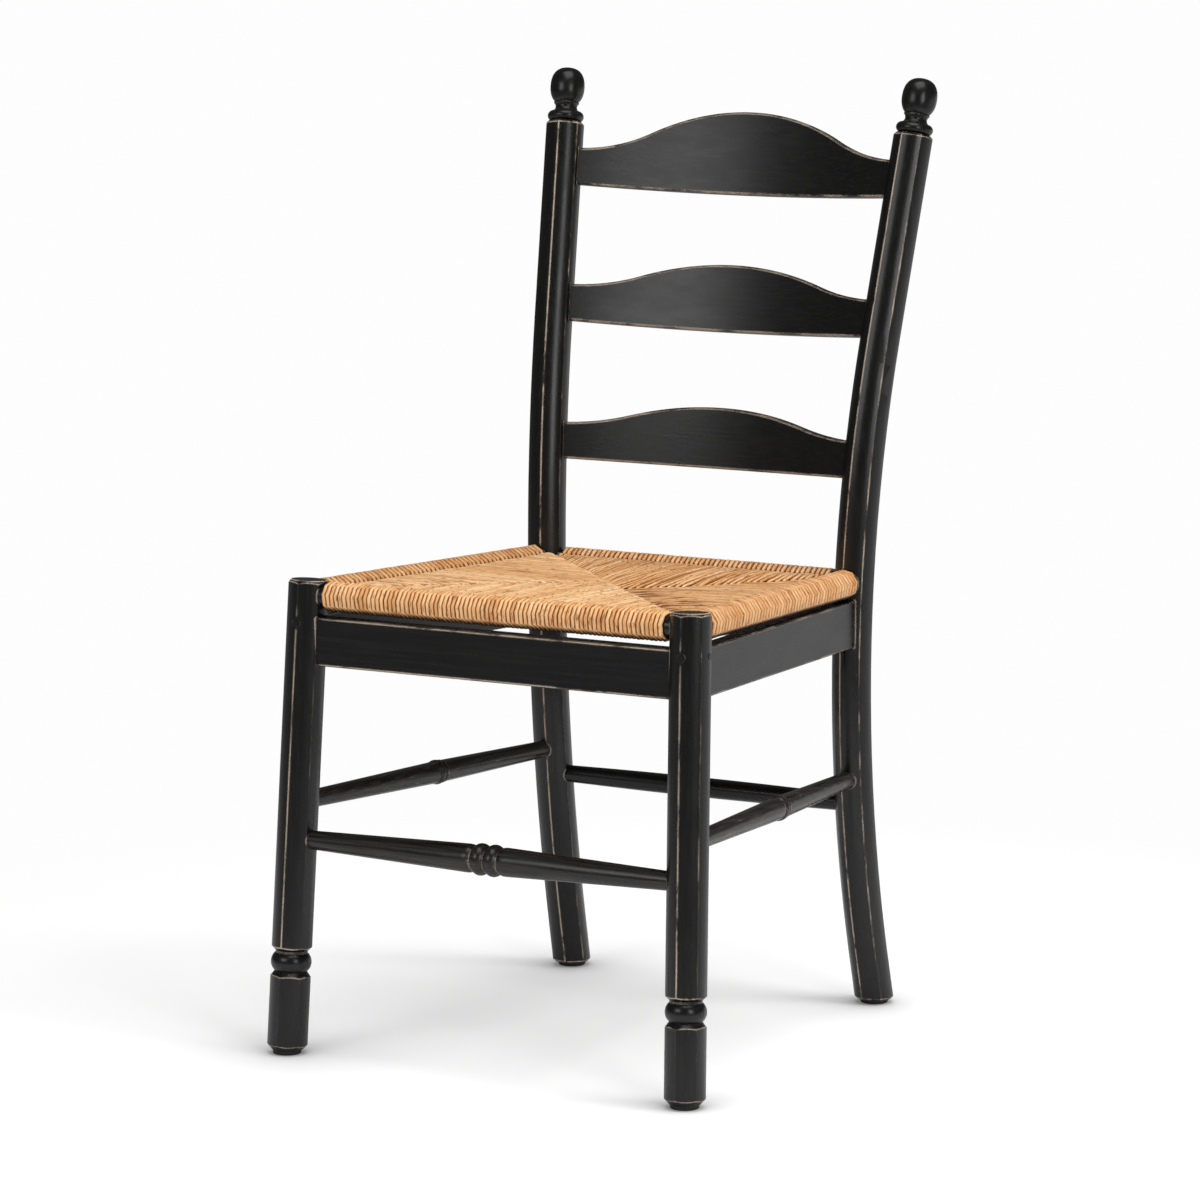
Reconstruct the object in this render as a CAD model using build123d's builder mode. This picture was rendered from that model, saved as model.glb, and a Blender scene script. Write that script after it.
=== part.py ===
import math
import os
from build123d import *

# Ladder-back dining chair with a woven rush seat, in millimetres.
# The front faces -Y, +X is on the right of someone facing the chair, +Z is up.
# The origin is on the floor, under the middle of the chair's bounding box.

os.makedirs("parts", exist_ok=True)

# Posts
post_diameter = 40.0            # across opposite arrises of the section
post_facets = 6
facet_bow = 1.9                 # how far each facet swells between its two arrises
front_post_height = 470.0
front_top_spacing = 426.0       # between the front post centre lines, at their tops
front_splay = 11.2              # how far each foot stands out sideways from its top
front_rake = 30.2               # how far each foot stands forward of its top
rear_spacing = 356.0            # between the rear post centre lines, at the bend
seat_depth = 403.65             # front post top to rear post bend, on the centre lines
bend_height = 385.0             # where the rear posts stand furthest forward
upper_bend_radius = 1324.0
lower_bend_radius = 1385.0
upper_lean = 13.4               # degrees, of the straight stretch at the top
lower_kick = 13.9               # degrees, of the straight stretch at the foot
outward_tilt = 1.167            # degrees, the rear posts spread towards the top
outward_turn = 9.96             # degrees, the plane of the bend turns outwards

# Turned details of the front posts, heights on the post's own axis
foot_chamfer_top = 9.0
foot_top = 77.0
lower_neck_height = 82.5
upper_neck_height = 101.0
shaft_start = 107.0
neck_diameter = 32.0
bead_diameter = 40.4
foot_end_diameter = 31.0
top_disc_diameter = 35.6
top_chamfer_height = 3.5
rear_edge_chamfer = 2.5

# Finials
spigot_diameter = 12.0
spigot_length = 22.0
finial_ring_diameter = 37.6
finial_ring_height = 11.0
finial_flare_diameter = 27.4    # where the neck spreads onto the ring
finial_neck_diameter = 22.4
finial_neck_height = 15.0
finial_collar_diameter = 26.2
finial_collar_low = 18.6
finial_collar_height = 2.2
finial_ball_foot_diameter = 25.0
finial_ball_diameter = 35.7
finial_ball_middle = 36.5
finial_height = 57.0

# Slats: height of the lower edge, height at the crown
top_slat_low = 827.5
top_slat_crown = 86.0
middle_slat_low = 688.5
middle_slat_crown = 69.5
lower_slat_low = 547.0
lower_slat_crown = 63.0
slat_end_height = 38.0
slat_thickness = 11.0
slat_bow = 30.0                 # how far the middle stands behind the ends
slat_tenon_end = 6.0            # from the post's centre line to the tenon's end
crown_turn = 0.56               # where the crown's curve turns, as a share of the half length
slat_edge_radius = 2.0
spigot_clearance = 3.5          # between the top slat's ends and the finials' spigots above them
rear_post_height = top_slat_low + slat_end_height + spigot_clearance + spigot_length

# Seat rails and aprons
rail_fall = 11.0                # the rails fall this much from front to rear posts
apron_fall = 8.0                # and the aprons this much
rail_drop = 15.0                # the front rail's centre is this far under the front posts' tops
rail_height = front_post_height - rail_drop
rail_diameter = 21.5
rear_rail_diameter = 16.5
rail_tenon_diameter = 13.0
rail_tenon_end = 8.6
apron_height = 48.0
apron_drop = 20.0               # the aprons' top edges are this far under the rails' centres
apron_low = rail_height - apron_drop - apron_height
apron_thickness = 18.0
apron_edge_chamfer = 1.2
apron_tenon_thickness = 6.0
apron_tenon_cut_top = 1.5
apron_tenon_cut_low = 5.0
cross_tenon_past = 4.5          # front and rear apron tenons run past the post's centre
side_tenon_past = 1.8
housing_end = 16.0              # rails, aprons and stretchers enter the posts to here
peg_diameter = 6.5
peg_below_top = 5.5             # peg's centre under the apron's top edge
peg_recess = 0.6
side_peg_back = 2.5             # the outer pegs sit this far behind the post's centre

# Stretchers
front_stretcher_height = 214.0
rear_stretcher_height = 214.5
side_stretcher_front_height = 250.5
side_stretcher_rear_height = 241.5
stretcher_tenon_diameter = 14.0
stretcher_tenon_end = 3.0
front_stretcher_end_diameter = 18.6
front_stretcher_diameter = 28.0
front_bead_diameter = 31.6
front_bead_groove_diameter = 25.0
front_bead_width = 13.4
front_bead_gap = 1.4            # between the two beads, and beside them
front_shoulder_length = 12.0
side_stretcher_end_diameter = 17.6
side_stretcher_diameter = 22.6
side_ring_diameter = 25.4
side_ring_width = 9.0
side_ring_groove = 1.4          # depth of the groove beside the ring
side_bead_width = 3.6
side_ring_shift = 10.0          # the ring sits behind the middle
rear_stretcher_end_diameter = 17.6
rear_stretcher_diameter = 20.7

# Glides
glide_diameter = 28.0
glide_height = 4.0
glide_edge = 1.0
nail_diameter = 4.0
nail_length = 16.0

# Rush
cord_diameter = 4.6
panel_half_height = 8.0         # the panel lies lower than the rolls round it
rush_post_gap = 5.0

# Fits
fit = 0.1                       # all round, between a tenon and its mortise
rush_fit = 0.25                 # all round, between the rush and the rails

post_radius = post_diameter / 2
up = Vector(0, 0, 1)
across = Vector(1, 0, 0)
back = Vector(0, 1, 0)

# Rear post centre line: two tangent arcs with straight ends, in a plane that leans outwards
turn = math.radians(outward_turn)
rear_back = Vector(math.sin(turn), math.cos(turn), 0)
rear_up = Vector(math.tan(math.radians(outward_tilt)), 0, 1)
rear_up = (rear_up - rear_back * rear_up.dot(rear_back)).normalized()


def bend_offset(rise):
    radius = upper_bend_radius if rise > 0 else lower_bend_radius
    angle = math.radians(upper_lean if rise > 0 else lower_kick)
    straight = max(abs(rise) - radius * math.sin(angle), 0)
    curved = abs(rise) - straight
    return radius - math.sqrt(radius**2 - curved**2) + straight * math.tan(angle)


def rear_line(height):
    # a point of the right rear post's centre line, measured from its bend
    rise = (height - bend_height) / rear_up.Z
    return rear_up * rise + rear_back * bend_offset(rise)


def slat_lean(low):
    foot = rear_line(low)
    head = rear_line(low + slat_end_height)
    return Vector(0, head.Y - foot.Y, head.Z - foot.Z).normalized()


# The origin is midway between the front feet and the rounded back edge of the top slat
lean = slat_lean(top_slat_low)
edge_rise = top_slat_crown - slat_edge_radius
edge_depth = slat_bow + slat_thickness / 2 - slat_edge_radius
slat_reach = edge_rise * lean.Y + edge_depth * lean.Z + slat_edge_radius
front_reach = front_rake * (1 - foot_chamfer_top / front_post_height) + post_radius
rear_reach = seat_depth + rear_line(top_slat_low).Y + slat_reach
front_y = (front_reach - rear_reach) / 2
rear_bend = Vector(rear_spacing / 2, front_y + seat_depth, bend_height)


def rear_axis(height):
    return rear_bend + rear_line(height)


front_top = Vector(front_top_spacing / 2, front_y, front_post_height)
front_foot = front_top + Vector(front_splay, -front_rake, -front_post_height)
front_up = (front_top - front_foot).normalized()


def front_axis(height):
    return front_foot + (front_top - front_foot) * (height / front_post_height)


def mirrored(point):
    return Vector(-point.X, point.Y, point.Z)


def board_plane(start, end, outward):
    # local x runs from start to end, local y is up, local z faces outward
    run = (end - start).normalized()
    facing = (outward - run * outward.dot(run)).normalized()
    return Plane(origin=(start + end) / 2, x_dir=run, z_dir=facing)


def bore(start, toward, radius, near, far):
    # a round hole along toward, from near to far, cut from the part being made
    with Locations(Plane(origin=start + toward * near, z_dir=toward)):
        Cylinder(radius, far - near, align=(Align.CENTER, Align.CENTER, Align.MIN), mode=Mode.SUBTRACT)


def socket(start, end, body_diameter, tenon_diameter, tenon_end):
    # room for the end of a round rail or stretcher, around its axis
    toward = (end - start).normalized()
    bore(start, toward, body_diameter / 2 + fit, housing_end - fit, post_diameter)
    bore(start, toward, tenon_diameter / 2 + fit, tenon_end - fit, housing_end)


def post_section(plane):
    # bowed facets, with an arris at the front and one at the back
    facet = 2 * math.pi / post_facets
    flat_reach = post_radius * math.cos(facet / 2) + facet_bow
    with BuildSketch(plane) as section:
        with BuildLine():
            for corner in range(post_facets):
                start = math.pi / 2 + facet * corner
                reach = {start: post_radius, start + facet / 2: flat_reach, start + facet: post_radius}
                ThreePointArc(*[(r * math.cos(a), r * math.sin(a)) for a, r in reach.items()])
        make_face()
    return section.sketch


# Seat geometry shared by rails, aprons and rush
front_rail_end = front_axis(rail_height)
rear_rail_end = rear_axis(rail_height - rail_fall)
apron_middle = apron_low + apron_height / 2
front_apron_end = front_axis(apron_middle)
rear_apron_end = rear_axis(apron_middle - apron_fall)
side_run = (rear_apron_end - front_apron_end).normalized()
side_out = Vector(side_run.Y, -side_run.X, 0).normalized()
front_apron_plane = board_plane(mirrored(front_apron_end), front_apron_end, -back)
side_apron_plane = board_plane(front_apron_end, rear_apron_end, side_out)
rear_apron_plane = board_plane(rear_apron_end, mirrored(rear_apron_end), back)
front_apron_length = 2 * front_apron_end.X
side_apron_length = (rear_apron_end - front_apron_end).length
rear_apron_length = 2 * rear_apron_end.X
peg_rise = apron_height / 2 - peg_below_top
tenon_face = apron_thickness / 2 - apron_tenon_thickness

# Stretcher ends on the post centre lines
front_stretcher_end = front_axis(front_stretcher_height)
rear_stretcher_end = rear_axis(rear_stretcher_height)
side_stretcher_front = front_axis(side_stretcher_front_height)
side_stretcher_rear = rear_axis(side_stretcher_rear_height)


def slat_plane(low):
    # slats lean with the stretch of rear post that holds them
    foot = rear_axis(low)
    return Plane(origin=(0, foot.Y, foot.Z), x_dir=across, z_dir=slat_lean(low))


def apron_blank(plane, length, past, play):
    # a board with a tenon flush with its outer face at each end, grown by play all round
    body = length - 2 * housing_end + 2 * play
    tenon = length + 2 * past + 2 * play
    tenon_height = apron_height - apron_tenon_cut_top - apron_tenon_cut_low + 2 * play
    tenon_lift = (apron_tenon_cut_low - apron_tenon_cut_top) / 2
    with BuildSketch(plane) as board:
        Rectangle(body, apron_height + 2 * play)
    extrude(board.sketch, amount=apron_thickness / 2 + play, both=True)
    with BuildSketch(plane.offset(tenon_face - play)) as tongue:
        with Locations((0, tenon_lift)):
            Rectangle(tenon, tenon_height)
    extrude(tongue.sketch, amount=apron_tenon_thickness + 2 * play)


def slat_blank(low, crown, play):
    # a bent strip with a humped top edge, grown by play all round
    plane = slat_plane(low)
    half = rear_axis(low).X - slat_tenon_end + play
    thick = slat_thickness / 2 + play
    turn_at = half * crown_turn
    rise = crown - slat_end_height
    with BuildSketch(plane.offset(-play)) as strip:
        with BuildLine():
            outer = ThreePointArc((-half, thick), (0, slat_bow + thick), (half, thick))
            inner = ThreePointArc((-half, -thick), (0, slat_bow - thick), (half, -thick))
            Line(outer @ 0, inner @ 0)
            Line(outer @ 1, inner @ 1)
        make_face()
    extrude(strip.sketch, amount=crown + 2 * play)
    with BuildSketch(Plane(origin=plane.origin, x_dir=across, z_dir=-plane.y_dir)) as outline:
        with BuildLine():
            hump = TangentArc((0, crown + play), (turn_at, crown + play - rise * crown_turn), tangent=(1, 0))
            dip = TangentArc(hump @ 1, (half, slat_end_height + play), tangent=hump % 1)
            end = Line(dip @ 1, (half, -play))
            Line(end @ 1, (0, -play))
            mirror(about=Plane.YZ)
        make_face()
    extrude(outline.sketch, amount=slat_bow + 2 * slat_thickness, both=True, mode=Mode.INTERSECT)


def apron_edges(plane, length):
    # the four long edges of a board's body
    straight = edges().filter_by(Axis((0, 0, 0), plane.x_dir))
    return straight.filter_by(lambda edge: edge.length > length / 2)


def spindle_end(half, body_diameter, tenon_diameter, tenon_end):
    # the end of a round piece, from its body down to the axis
    return [
        (half - housing_end, body_diameter / 2),
        (half - housing_end, tenon_diameter / 2),
        (half - tenon_end, tenon_diameter / 2),
        (half - tenon_end, 0),
    ]


# Blanks that cut the mortises, one fit larger than the pieces that go in
with BuildPart() as front_apron_room:
    apron_blank(front_apron_plane, front_apron_length, cross_tenon_past, fit)
with BuildPart() as side_apron_room:
    apron_blank(side_apron_plane, side_apron_length, side_tenon_past, fit)
with BuildPart() as rear_apron_room:
    apron_blank(rear_apron_plane, rear_apron_length, cross_tenon_past, fit)

slats = {
    "top_slat": (top_slat_low, top_slat_crown),
    "middle_slat": (middle_slat_low, middle_slat_crown),
    "lower_slat": (lower_slat_low, lower_slat_crown),
}
slat_rooms = []
for low, crown in slats.values():
    with BuildPart() as slat_room:
        slat_blank(low, crown, fit)
    slat_rooms.append(slat_room.part)

# Pegs pin the apron tenons into the front posts
front_peg_spot = front_apron_end + front_apron_plane.y_dir * peg_rise
side_peg_spot = front_apron_end + side_apron_plane.y_dir * peg_rise + side_run * side_peg_back


def front_peg_holes():
    for spot in (front_peg_spot, mirrored(front_peg_spot)):
        bore(spot, -back, peg_diameter / 2 + fit, tenon_face - fit, post_diameter)


def side_peg_hole():
    bore(side_peg_spot, side_out, peg_diameter / 2 + fit, tenon_face - fit, post_diameter)


# Front posts: six-sided stock, turned at the foot and chamfered at the top
post_length = (front_top - front_foot).length
post_plane = Plane(origin=front_foot, x_dir=across, z_dir=front_up)
turning_plane = Plane(origin=front_foot, x_dir=post_plane.x_dir, z_dir=post_plane.x_dir.cross(front_up))
outside = post_diameter         # a radius clear of the six-sided stock
foot_taper = (post_radius - foot_end_diameter / 2) / (foot_chamfer_top - glide_height)
with BuildPart() as front_post_right:
    extrude(post_section(post_plane), amount=post_length)
    with BuildSketch(turning_plane) as shaft_envelope:
        with BuildLine():
            Polyline(
                (0, shaft_start - (post_radius - neck_diameter / 2)),
                (neck_diameter / 2, shaft_start - (post_radius - neck_diameter / 2)),
                (post_radius, shaft_start),
                (outside, shaft_start),
                (outside, post_length - top_chamfer_height),
                (post_radius, post_length - top_chamfer_height),
                (top_disc_diameter / 2, post_length),
                (0, post_length),
                close=True,
            )
        make_face()
        with BuildLine():
            Polyline(
                (0, 0),
                (post_radius - foot_taper * foot_chamfer_top, 0),
                (post_radius, foot_chamfer_top),
                (outside, foot_chamfer_top),
                (outside, foot_top),
                (post_radius, foot_top),
                (neck_diameter / 2, lower_neck_height),
                (0, lower_neck_height),
                close=True,
            )
        make_face()
    revolve(shaft_envelope.sketch, axis=Axis(front_foot, front_up), mode=Mode.INTERSECT)
    with BuildSketch(turning_plane) as bead:
        with BuildLine():
            neck = neck_diameter / 2
            widest = (bead_diameter / 2, (lower_neck_height + upper_neck_height) / 2)
            ThreePointArc((neck, lower_neck_height), widest, (neck, upper_neck_height))
            Polyline(
                (neck, upper_neck_height),
                (neck, shaft_start),
                (0, shaft_start),
                (0, foot_top),
                (neck, foot_top),
                (neck, lower_neck_height),
            )
        make_face()
    revolve(bead.sketch, axis=Axis(front_foot, front_up))
    split(bisect_by=Plane.XY.offset(glide_height), keep=Keep.TOP)
    bore(front_axis(glide_height), up, nail_diameter / 2 + fit, -fit, nail_length + fit)
    socket(front_stretcher_end, mirrored(front_stretcher_end), front_stretcher_end_diameter,
           stretcher_tenon_diameter, stretcher_tenon_end)
    socket(side_stretcher_front, side_stretcher_rear, side_stretcher_end_diameter,
           stretcher_tenon_diameter, stretcher_tenon_end)
    socket(front_rail_end, mirrored(front_rail_end), rail_diameter, rail_tenon_diameter, rail_tenon_end)
    socket(front_rail_end, rear_rail_end, rail_diameter, rail_tenon_diameter, rail_tenon_end)
    add(front_apron_room.part, mode=Mode.SUBTRACT)
    add(side_apron_room.part, mode=Mode.SUBTRACT)
    front_peg_holes()
    side_peg_hole()

# Rear posts: the same section, bent back above and below the seat
bend_plane = Plane(origin=rear_bend, x_dir=rear_back, z_dir=rear_back.cross(rear_up))
top_rise = (rear_post_height - bend_height) / rear_up.Z
low_rise = -bend_height / rear_up.Z - post_radius
with BuildPart() as rear_post_right:
    with BuildLine(bend_plane) as bend_path:
        low_arc = CenterArc((lower_bend_radius, 0), lower_bend_radius, 180 + lower_kick, -lower_kick)
        high_arc = CenterArc((upper_bend_radius, 0), upper_bend_radius, 180, -upper_lean)
        Line((bend_offset(low_rise), low_rise), low_arc @ 0)
        Line(high_arc @ 1, (bend_offset(top_rise), top_rise))
    rear_low = rear_bend + rear_up * low_rise + rear_back * bend_offset(low_rise)
    kick = math.radians(lower_kick)
    low_direction = rear_up * math.cos(kick) - rear_back * math.sin(kick)
    rear_side = rear_back.cross(rear_up)
    sweep(post_section(Plane(origin=rear_low, x_dir=rear_side, z_dir=low_direction)), path=bend_path.wire())
    chamfer(faces().sort_by(Axis.Z)[-1].edges(), rear_edge_chamfer)
    split(bisect_by=Plane.XY.offset(glide_height), keep=Keep.TOP)
    chamfer(faces().sort_by(Axis.Z)[0].edges(), rear_edge_chamfer)
    top_angle = math.radians(upper_lean)
    finial_up = rear_up * math.cos(top_angle) + rear_back * math.sin(top_angle)
    finial_foot = rear_axis(rear_post_height)
    bore(finial_foot, -finial_up, spigot_diameter / 2 + fit, -post_radius, spigot_length + fit)
    bore(rear_axis(glide_height), up, nail_diameter / 2 + fit, -fit, nail_length + fit)
    socket(rear_stretcher_end, mirrored(rear_stretcher_end), rear_stretcher_end_diameter,
           stretcher_tenon_diameter, stretcher_tenon_end)
    socket(side_stretcher_rear, side_stretcher_front, side_stretcher_end_diameter,
           stretcher_tenon_diameter, stretcher_tenon_end)
    socket(rear_rail_end, mirrored(rear_rail_end), rear_rail_diameter, rail_tenon_diameter, rail_tenon_end)
    socket(rear_rail_end, front_rail_end, rail_diameter, rail_tenon_diameter, rail_tenon_end)
    add(rear_apron_room.part, mode=Mode.SUBTRACT)
    add(side_apron_room.part, mode=Mode.SUBTRACT)
    for room in slat_rooms:
        add(room, mode=Mode.SUBTRACT)

# Finials: a ring, a neck and an egg-shaped ball on a spigot
with BuildPart() as finial_right:
    finial_plane = Plane(origin=finial_foot, x_dir=rear_side, z_dir=rear_side.cross(finial_up))
    with BuildSketch(finial_plane):
        with BuildLine():
            ring = finial_ring_diameter / 2
            ring_root = ring - finial_ring_height / 2
            flare = finial_flare_diameter / 2
            neck = finial_neck_diameter / 2
            foot = finial_ball_foot_diameter / 2
            ball = finial_ball_diameter / 2
            collar_top = finial_collar_low + finial_collar_height
            collar_rim = (finial_collar_diameter / 2, (finial_collar_low + collar_top) / 2)
            Polyline((ring_root, 0), (spigot_diameter / 2, 0), (spigot_diameter / 2, -spigot_length),
                     (0, -spigot_length), (0, finial_height))
            ThreePointArc((ring_root, 0), (ring, finial_ring_height / 2), (ring_root, finial_ring_height))
            Line((ring_root, finial_ring_height), (flare, finial_ring_height))
            ThreePointArc((flare, finial_ring_height), (neck, finial_neck_height), (foot, finial_collar_low))
            ThreePointArc((foot, finial_collar_low), collar_rim, (foot, collar_top))
            Spline((foot, collar_top), (ball, finial_ball_middle), tangents=[(1, 1), (0, 1)])
            Spline((ball, finial_ball_middle), (0, finial_height), tangents=[(0, 1), (-1, 0)])
        make_face()
    revolve(axis=Axis(finial_foot, finial_up))

# Slats
pieces = {}
for name, (low, crown) in slats.items():
    with BuildPart() as slat:
        slat_blank(low, crown, 0)
        fillet(slat.edges(), slat_edge_radius)
    pieces[name] = slat.part

# Aprons
with BuildPart() as apron_front:
    apron_blank(front_apron_plane, front_apron_length, cross_tenon_past, 0)
    chamfer(apron_edges(front_apron_plane, front_apron_length), apron_edge_chamfer)
    front_peg_holes()
with BuildPart() as apron_right:
    apron_blank(side_apron_plane, side_apron_length, side_tenon_past, 0)
    chamfer(apron_edges(side_apron_plane, side_apron_length), apron_edge_chamfer)
    side_peg_hole()
with BuildPart() as apron_rear:
    apron_blank(rear_apron_plane, rear_apron_length, cross_tenon_past, 0)
    chamfer(apron_edges(rear_apron_plane, rear_apron_length), apron_edge_chamfer)
with BuildPart() as apron_left:
    mirror(apron_right.part, about=Plane.YZ)

# Pegs, a little below the surface of the posts
peg_length = post_radius - peg_recess - tenon_face
with BuildPart() as apron_pegs:
    for spot, outward in ((front_peg_spot, -back), (side_peg_spot, side_out)):
        with Locations(Plane(origin=spot + outward * tenon_face, z_dir=outward)):
            Cylinder(peg_diameter / 2, peg_length, align=(Align.CENTER, Align.CENTER, Align.MIN))
    mirror(about=Plane.YZ)

# Seat rails: round rods under the rush, with turned tenons
rails = {
    "seat_rail_front": (mirrored(front_rail_end), front_rail_end, rail_diameter),
    "seat_rail_right": (front_rail_end, rear_rail_end, rail_diameter),
    "seat_rail_rear": (rear_rail_end, mirrored(rear_rail_end), rear_rail_diameter),
    "seat_rail_left": (mirrored(rear_rail_end), mirrored(front_rail_end), rail_diameter),
}
for name, (start, end, diameter) in rails.items():
    rail_plane = board_plane(start, end, (end - start).cross(up))
    half = (end - start).length / 2
    with BuildPart() as rail:
        with BuildSketch(rail_plane):
            with BuildLine():
                Polyline(*spindle_end(half, diameter, rail_tenon_diameter, rail_tenon_end), (0, 0))
                Line((0, diameter / 2), (half - housing_end, diameter / 2))
                mirror(about=Plane.YZ)
            make_face()
        revolve(axis=Axis(rail_plane.origin, rail_plane.x_dir))
    pieces[name] = rail.part

# Front stretcher: tapers to both ends from a pair of beads
with BuildPart() as front_stretcher:
    start, end = mirrored(front_stretcher_end), front_stretcher_end
    stretcher_plane = board_plane(start, end, -back)
    half = (end - start).length / 2
    groove = front_bead_groove_diameter / 2
    bead_from = front_bead_gap / 2
    bead_to = bead_from + front_bead_width
    swell_from = bead_to + front_bead_gap
    swell_to = swell_from + front_shoulder_length
    swell = front_stretcher_diameter / 2
    widest = ((bead_from + bead_to) / 2, front_bead_diameter / 2)
    tip = spindle_end(half, front_stretcher_end_diameter, stretcher_tenon_diameter, stretcher_tenon_end)
    with BuildSketch(stretcher_plane):
        with BuildLine():
            Line((0, groove), (bead_from, groove))
            ThreePointArc((bead_from, groove), widest, (bead_to, groove))
            Line((bead_to, groove), (swell_from, groove))
            Spline((swell_from, groove), (swell_to, swell), tangents=[(1, 1), (1, 0)])
            Line((swell_to, swell), tip[0])
            Polyline(*tip, (0, 0))
            mirror(about=Plane.YZ)
        make_face()
    revolve(axis=Axis(stretcher_plane.origin, stretcher_plane.x_dir))

# Side stretchers: one ring with a thin bead behind it
with BuildPart() as side_stretcher_right:
    start, end = side_stretcher_front, side_stretcher_rear
    stretcher_plane = board_plane(start, end, side_out)
    half = (end - start).length / 2
    swell = side_stretcher_diameter / 2
    ring = side_ring_diameter / 2
    groove = swell - side_ring_groove
    ring_from = side_ring_shift - side_ring_width / 2
    ring_to = side_ring_shift + side_ring_width / 2
    bead_to = ring_to + side_bead_width
    bead_top = ((ring_to + bead_to) / 2, (swell + ring) / 2)
    tip = spindle_end(half, side_stretcher_end_diameter, stretcher_tenon_diameter, stretcher_tenon_end)
    with BuildSketch(stretcher_plane):
        with BuildLine():
            far_tip = [(-x, y) for x, y in tip]
            Polyline((0, 0), *reversed(far_tip), (ring_from - side_ring_groove, swell), (ring_from, groove))
            ThreePointArc((ring_from, groove), (side_ring_shift, ring), (ring_to, groove))
            ThreePointArc((ring_to, groove), bead_top, (bead_to, swell))
            Polyline((bead_to, swell), *tip, (0, 0))
        make_face()
    revolve(axis=Axis(stretcher_plane.origin, stretcher_plane.x_dir))
with BuildPart() as side_stretcher_left:
    mirror(side_stretcher_right.part, about=Plane.YZ)

# Rear stretcher: plain, a little fuller in the middle
with BuildPart() as rear_stretcher:
    start, end = rear_stretcher_end, mirrored(rear_stretcher_end)
    stretcher_plane = board_plane(start, end, back)
    half = (end - start).length / 2
    tip = spindle_end(half, rear_stretcher_end_diameter, stretcher_tenon_diameter, stretcher_tenon_end)
    far_tip = [(-x, y) for x, y in tip]
    with BuildSketch(stretcher_plane):
        with BuildLine():
            ThreePointArc(far_tip[0], (0, rear_stretcher_diameter / 2), tip[0])
            Polyline(*tip, (0, 0), *reversed(far_tip))
        make_face()
    revolve(axis=Axis(stretcher_plane.origin, stretcher_plane.x_dir))

# Glides: nailed under each foot, flat on the floor
glide_spots = {
    "foot_glide_front_right": front_axis(glide_height),
    "foot_glide_front_left": mirrored(front_axis(glide_height)),
    "foot_glide_rear_right": rear_axis(glide_height),
    "foot_glide_rear_left": mirrored(rear_axis(glide_height)),
}
for name, spot in glide_spots.items():
    with BuildPart() as glide:
        with BuildSketch(Plane(origin=(spot.X, spot.Y, 0))):
            Circle(glide_diameter / 2)
        extrude(amount=glide_height)
        fillet(glide.edges().sort_by(Axis.Z)[0], glide_edge)
        with BuildSketch(Plane(origin=(spot.X, spot.Y, glide_height))):
            Circle(nail_diameter / 2)
        extrude(amount=nail_length)
    pieces[name] = glide.part

# Rush seat: a stuffed panel with a roll of cord round each rail, clear of the posts
front_rail_middle = Vector(0, front_rail_end.Y, front_rail_end.Z)
rear_rail_middle = Vector(0, rear_rail_end.Y, rear_rail_end.Z)
seat_slope = (rear_rail_middle - front_rail_middle).normalized()
seat_middle = (front_rail_middle + rear_rail_middle) / 2
seat_plane = Plane(origin=seat_middle, x_dir=across, z_dir=across.cross(seat_slope))
rear_post_up = (rear_axis(rail_height) - rear_axis(apron_low)).normalized()
with BuildPart() as rush_seat:
    with BuildSketch(seat_plane):
        with BuildLine():
            Polyline(*[seat_plane.to_local_coords(start) for start, end, diameter in rails.values()], close=True)
        make_face()
    extrude(amount=panel_half_height, both=True)
    for start, end, diameter in rails.values():
        roll = diameter / 2 + cord_diameter
        with Locations(Plane(origin=start, z_dir=end - start)):
            Cylinder(roll, (end - start).length, align=(Align.CENTER, Align.CENTER, Align.MIN))
    for start, end, diameter in rails.values():
        bore(start, (end - start).normalized(), diameter / 2 + rush_fit, 0, (end - start).length)
    for spot, post_up in ((front_rail_end, front_up), (rear_rail_end, rear_post_up)):
        for side in (spot, mirrored(spot)):
            lean_up = post_up if side is spot else mirrored(post_up)
            bore(side, lean_up, post_radius + rush_post_gap, -rail_height / 2, rail_height / 2)

# Left posts and finial
with BuildPart() as front_post_left:
    mirror(front_post_right.part, about=Plane.YZ)
with BuildPart() as rear_post_left:
    mirror(rear_post_right.part, about=Plane.YZ)
with BuildPart() as finial_left:
    mirror(finial_right.part, about=Plane.YZ)

pieces["front_post_left"] = front_post_left.part
pieces["front_post_right"] = front_post_right.part
pieces["rear_post_left"] = rear_post_left.part
pieces["rear_post_right"] = rear_post_right.part
pieces["finial_left"] = finial_left.part
pieces["finial_right"] = finial_right.part
pieces["apron_front"] = apron_front.part
pieces["apron_left"] = apron_left.part
pieces["apron_right"] = apron_right.part
pieces["apron_rear"] = apron_rear.part
pieces["apron_pegs"] = apron_pegs.part
pieces["front_stretcher"] = front_stretcher.part
pieces["side_stretcher_left"] = side_stretcher_left.part
pieces["side_stretcher_right"] = side_stretcher_right.part
pieces["rear_stretcher"] = rear_stretcher.part
pieces["rush_seat"] = rush_seat.part

for name, piece in pieces.items():
    piece.label = name
    export_step(piece, f"parts/{name}.step")

whole = Compound(children=list(pieces.values())).bounding_box()
print("lowest corner", whole.min, "highest corner", whole.max)
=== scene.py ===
import bpy
import math
import random
from mathutils import Matrix, Vector


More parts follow.
